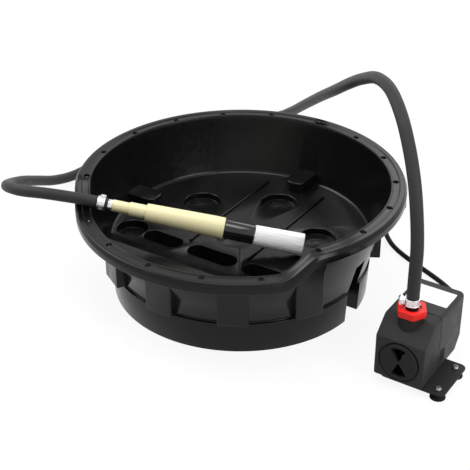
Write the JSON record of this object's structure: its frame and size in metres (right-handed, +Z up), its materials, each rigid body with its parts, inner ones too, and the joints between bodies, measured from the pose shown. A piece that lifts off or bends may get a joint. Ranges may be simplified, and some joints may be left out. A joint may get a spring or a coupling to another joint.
{
  "type": "parts washer tank",
  "caption": "Round moulded parts washer basin with a low front lip, a submersible pump with a turning rotor, a hose and a flow-through brush.",
  "frame": {"origin": "on the surface it stands on, at the middle of the box of the basin, pump and brush, without the hose and the power cord", "axes": "+X from the basin towards the pump, +Y towards the basin's high rear rim, +Z up"},
  "size_m": [0.7573, 0.6706, 0.3371],
  "materials": {
    "black_plastic": "satin moulded",
    "pump_plastic": "fine grain",
    "black_rubber": "matt",
    "hose_rubber": "satin",
    "red_plastic": "satin",
    "steel": "bright",
    "magnet": "matt",
    "ceramic": "polished",
    "yellow_plastic": "satin",
    "nylon": "matt",
    "gloss_black": "polished"
  },
  "bodies": {
    "tank": {"basin": "black_plastic", "motor_housing": "pump_plastic", "front_cover": "pump_plastic", "volute_housing": "black_plastic", "rotor_shaft": "ceramic", "rear_bush": "black_rubber", "front_bush": "black_rubber", "chamber_seal": "black_rubber", "foot_plate": "pump_plastic", "suction_cup_front_left": "black_rubber", "suction_cup_rear_left": "black_rubber", "suction_cup_front_right": "black_rubber", "suction_cup_rear_right": "black_rubber", "foot_screw_front": "steel", "foot_screw_rear": "steel", "hose_spigot": "black_plastic", "pump_clamp_band": "steel", "pump_clamp_screw": "steel", "brush_clamp_band": "steel", "brush_clamp_screw": "steel", "brush_fitting": "steel", "brush_handle": "yellow_plastic", "brush_ferrule": "gloss_black", "brush_bristles": "nylon", "hose": "hose_rubber", "cable_gland": "black_rubber", "power_cord": "black_rubber", "cord_coil": "black_rubber", "coil_tie": "nylon", "plug": "black_rubber"},
    "rotor": {"rotor_magnet": "magnet", "impeller": "nylon"},
    "dial": {"intake_dial": "pump_plastic"},
    "nut": {"union_nut": "red_plastic"}
  },
  "joints": [
    {"name": "rotor_spin", "type": "hinge", "parent": "tank", "child": "rotor", "pos_m": [0.233, -0.05, 0.041], "axis": [0, -1, 0], "continuous": true},
    {"name": "intake_dial_turn", "type": "hinge", "parent": "tank", "child": "dial", "pos_m": [0.233, -0.11, 0.041], "axis": [0, -1, 0], "range_deg": [0, 90]},
    {"name": "union_nut_turn", "type": "hinge", "parent": "tank", "child": "nut", "pos_m": [0.233, -0.084, 0.103], "axis": [0, 0, 1], "range_deg": [0, 330]}
  ]
}
